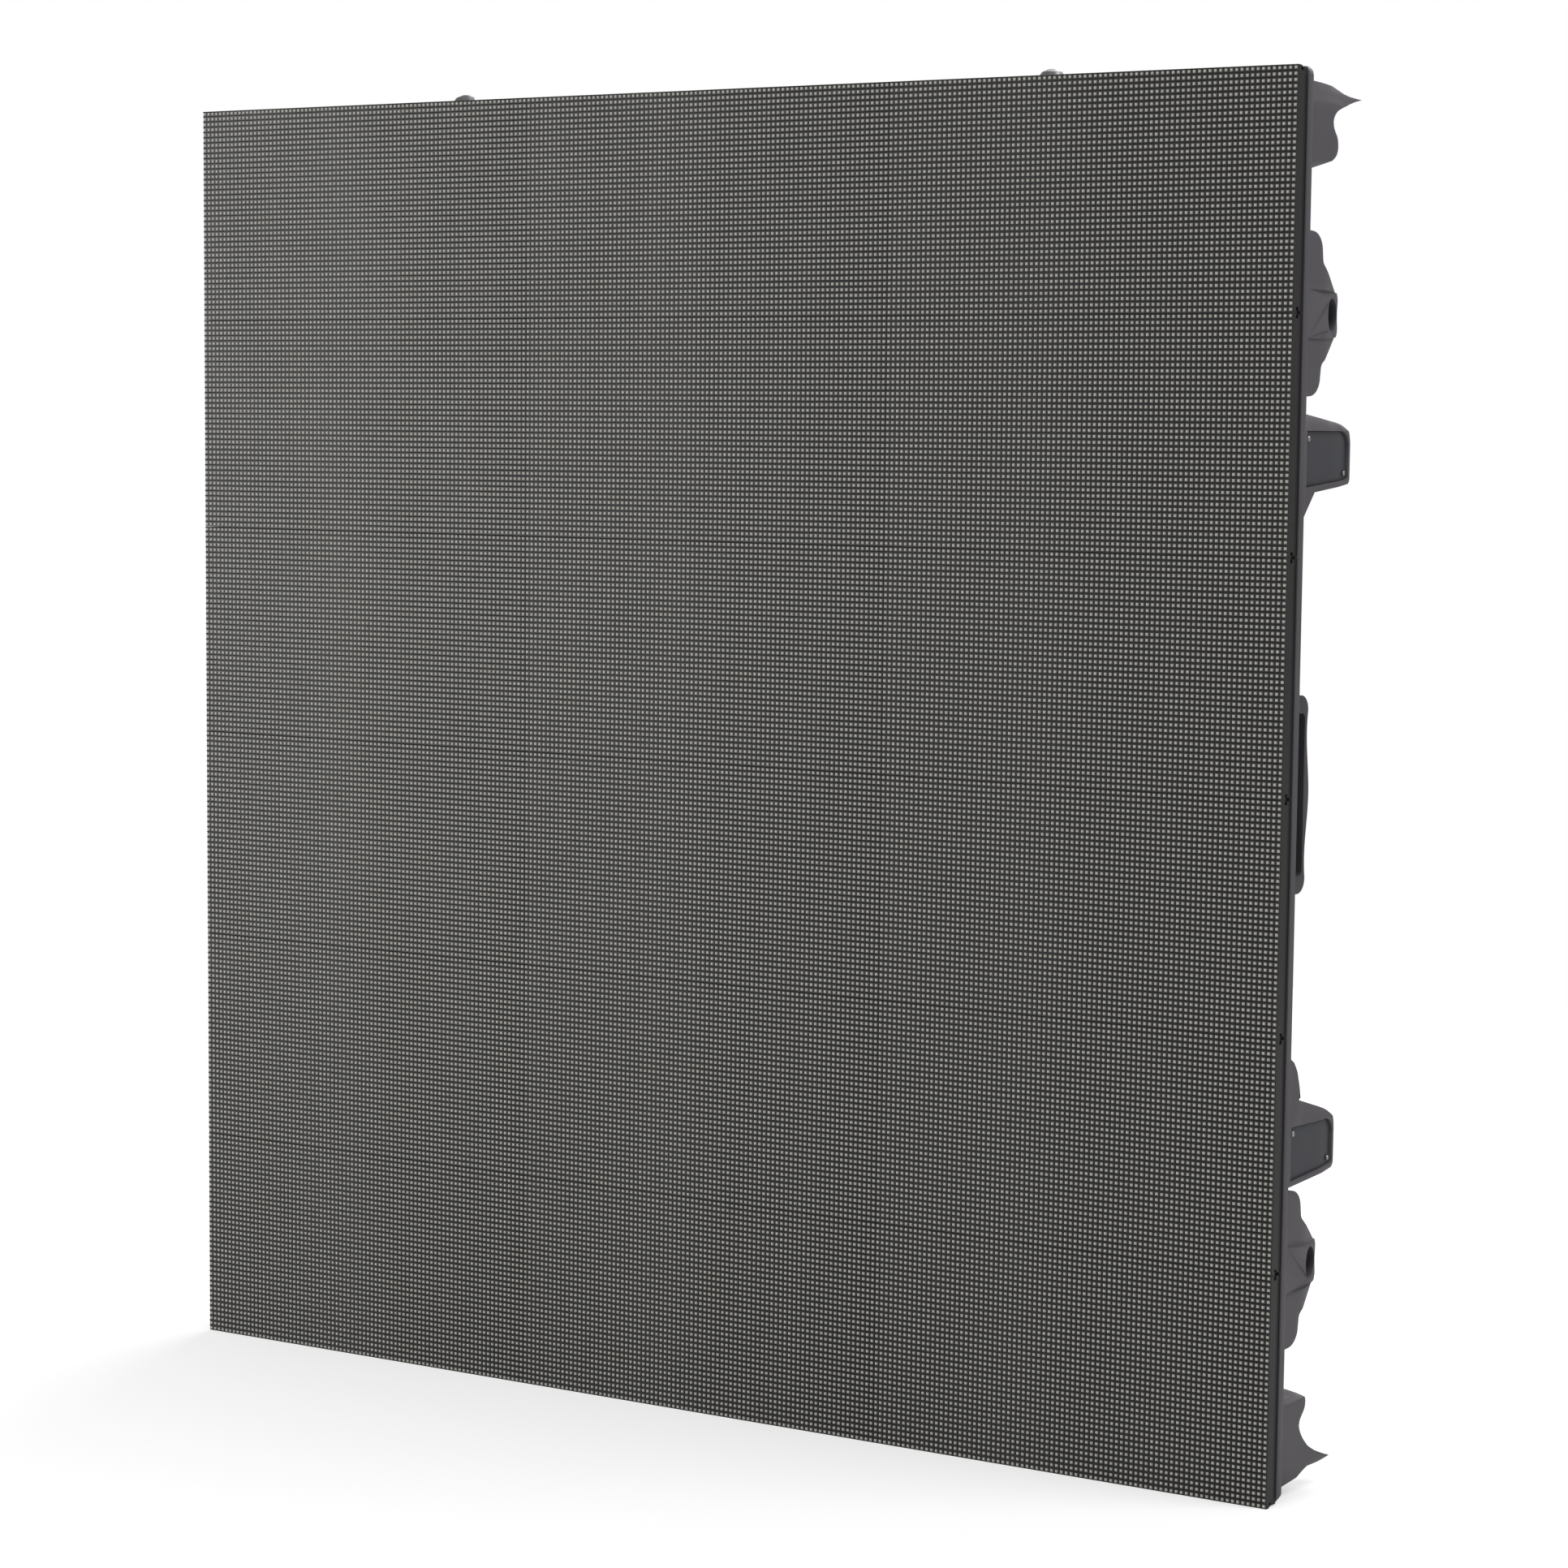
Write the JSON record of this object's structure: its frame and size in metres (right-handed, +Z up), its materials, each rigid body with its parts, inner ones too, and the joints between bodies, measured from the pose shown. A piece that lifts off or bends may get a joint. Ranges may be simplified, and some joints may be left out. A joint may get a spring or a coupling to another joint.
{
  "type": "LED display cabinet",
  "caption": "Square outdoor LED display panel: dot-matrix modules on a cast frame with corner ears, side bosses, locks and handles, and a power box on the back.",
  "frame": {"origin": "middle of the cabinet's footprint, on the surface it stands on", "axes": "+X to the right seen from the front, +Z up, the lit face looks towards -Y"},
  "size_m": [0.9596, 0.096, 0.9683],
  "materials": {
    "cast_frame": "satin powder coat on cast aluminium",
    "mask": "matt dark grey moulded mask",
    "kit": "matt black moulded back of a module",
    "board": "printed circuit board",
    "cover": "bluish dark grey satin paint",
    "handle": "satin powder coat",
    "pin_steel": "turned steel",
    "screw": "dark zinc",
    "power_box": "satin powder coat on cast aluminium",
    "supply_case": "folded sheet",
    "rubber": "sealing rubber",
    "plug": "moulded panel socket"
  },
  "bodies": {
    "root": {"cabinet_frame": "cast_frame", "door_gasket": "rubber", "door_screws": "screw", "handle_screws": "screw", "kit_r1_c1": "kit", "kit_r1_c2": "kit", "kit_r1_c3": "kit", "kit_r2_c1": "kit", "kit_r2_c2": "kit", "kit_r2_c3": "kit", "kit_r3_c1": "kit", "kit_r3_c2": "kit", "kit_r3_c3": "kit", "kit_r4_c1": "kit", "kit_r4_c2": "kit", "kit_r4_c3": "kit", "kit_r5_c1": "kit", "kit_r5_c2": "kit", "kit_r5_c3": "kit", "kit_r6_c1": "kit", "kit_r6_c2": "kit", "kit_r6_c3": "kit", "led_boards": "board", "locating_pin_left": "pin_steel", "locating_pin_right": "pin_steel", "lock_cover_lower_left": "cover", "lock_cover_lower_right": "cover", "lock_cover_screws": "screw", "lock_cover_upper_left": "cover", "lock_cover_upper_right": "cover", "mask_r1_c1": "mask", "mask_r1_c2": "mask", "mask_r1_c3": "mask", "mask_r2_c1": "mask", "mask_r2_c2": "mask", "mask_r2_c3": "mask", "mask_r3_c1": "mask", "mask_r3_c2": "mask", "mask_r3_c3": "mask", "mask_r4_c1": "mask", "mask_r4_c2": "mask", "mask_r4_c3": "mask", "mask_r5_c1": "mask", "mask_r5_c2": "mask", "mask_r5_c3": "mask", "mask_r6_c1": "mask", "mask_r6_c2": "mask", "mask_r6_c3": "mask", "power_box_door": "power_box", "power_box_tray": "power_box", "power_inlet": "plug", "power_outlet": "plug", "power_supply_1": "supply_case", "power_supply_2": "supply_case", "power_supply_3": "supply_case", "receiving_card": "board", "side_handle_left": "handle", "side_handle_right": "handle", "signal_inlet": "plug", "signal_outlet": "plug"}
  },
  "joints": []
}
